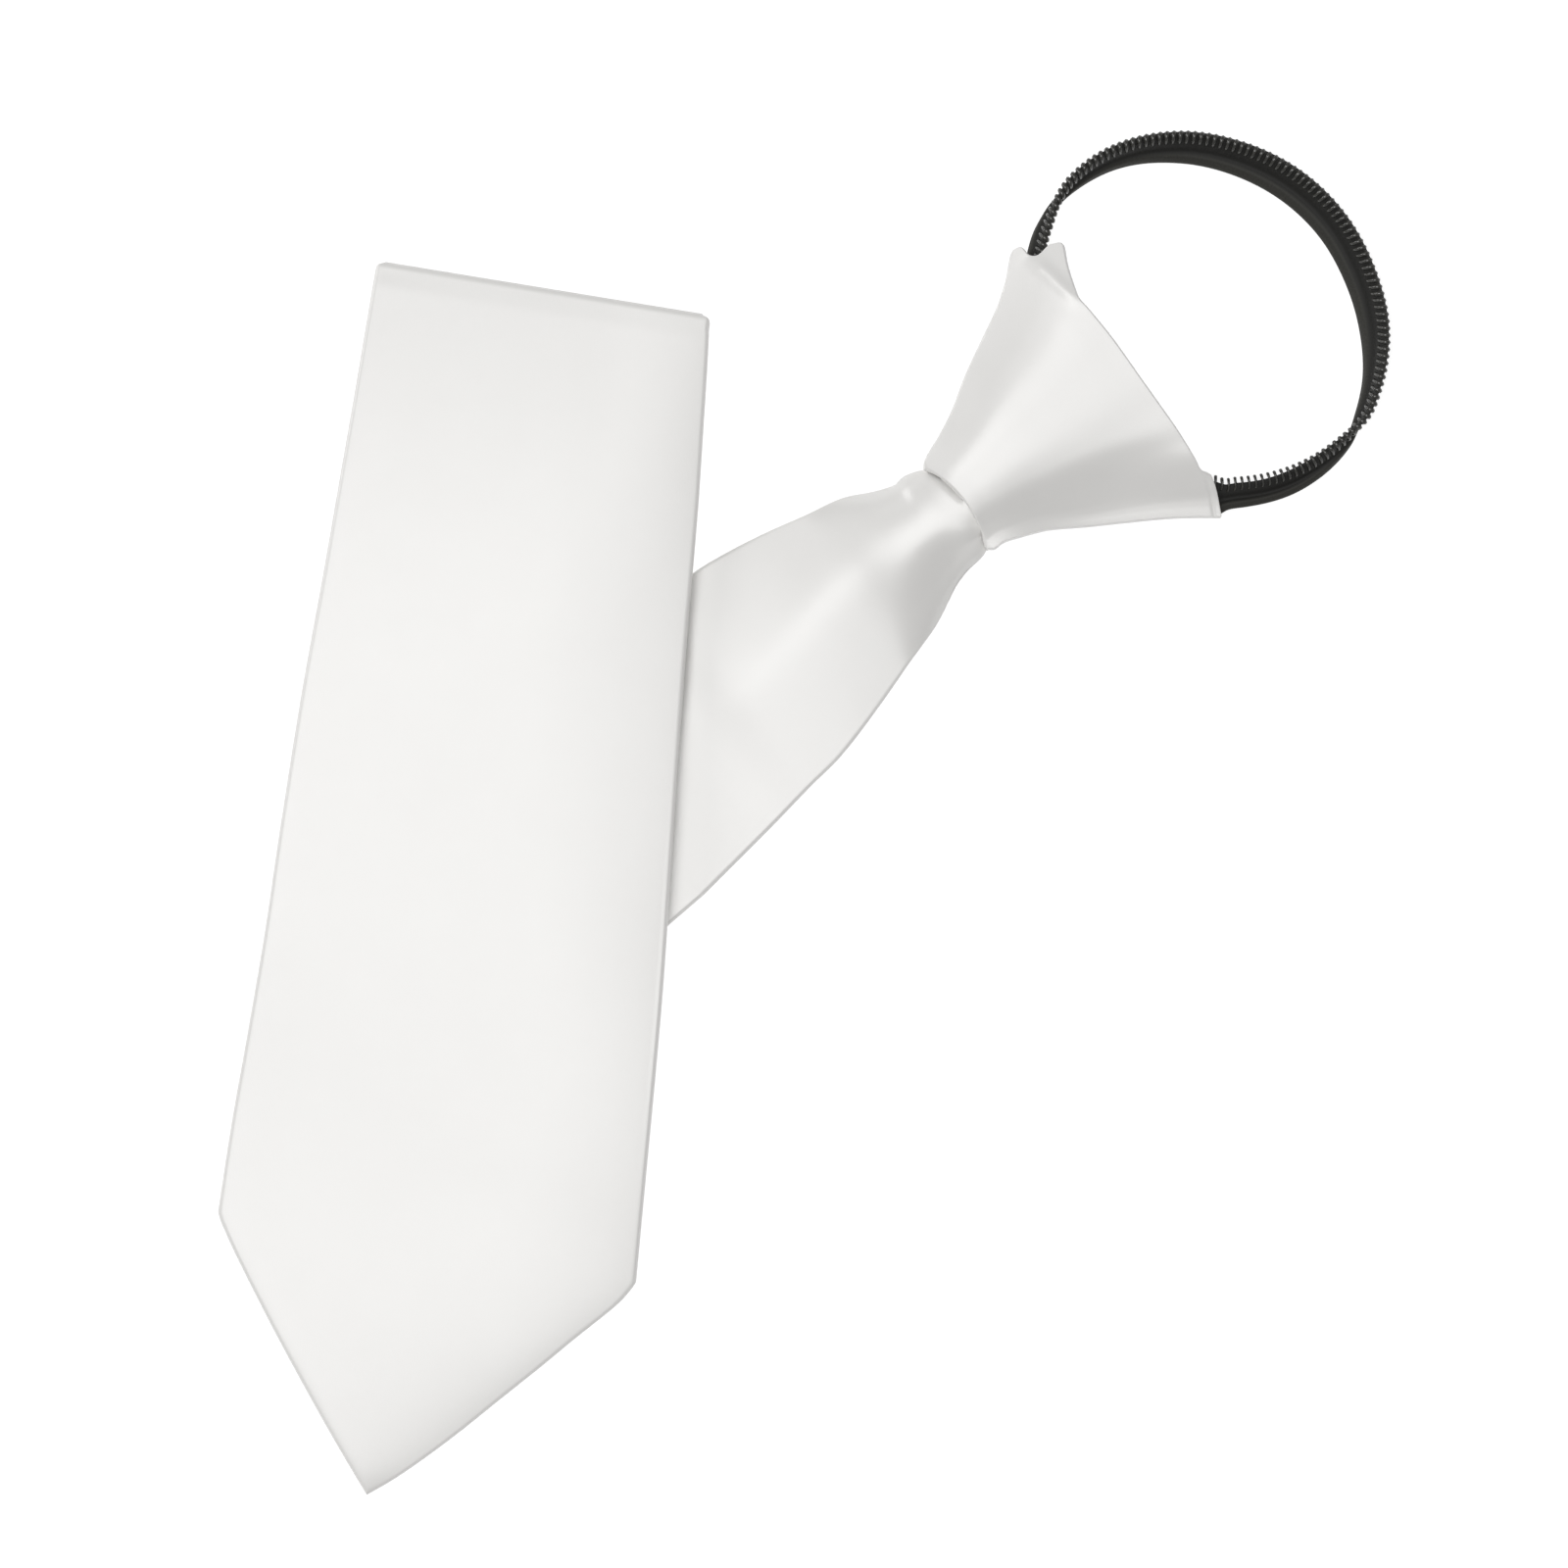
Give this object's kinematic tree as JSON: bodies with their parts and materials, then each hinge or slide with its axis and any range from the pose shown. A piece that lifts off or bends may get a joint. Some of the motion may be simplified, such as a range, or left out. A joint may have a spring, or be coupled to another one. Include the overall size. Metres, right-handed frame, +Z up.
{
  "type": "zipper necktie",
  "caption": "Ready-tied zipper necktie in plain satin, lying folded: long pointed blade, made-up knot and a zip neck loop.",
  "frame": {"origin": "middle of the bounding box as the tie lies, on the surface that it lies on", "axes": "+X to the right, +Y up the page, from the blade's point towards the neck loop, and +Z up, away from the surface"},
  "size_m": [0.2228, 0.2597, 0.0153],
  "materials": {
    "satin": "white satin, softly shiny",
    "zip_tape": "black woven tape, dull",
    "zip_nylon": "black nylon, slightly shiny"
  },
  "bodies": {
    "root": {"blade": "satin", "knot_wrap": "satin", "knot_roll": "satin", "zip_tape": "zip_tape", "zip_coil": "zip_nylon", "zip_slider": "zip_nylon"}
  },
  "joints": []
}
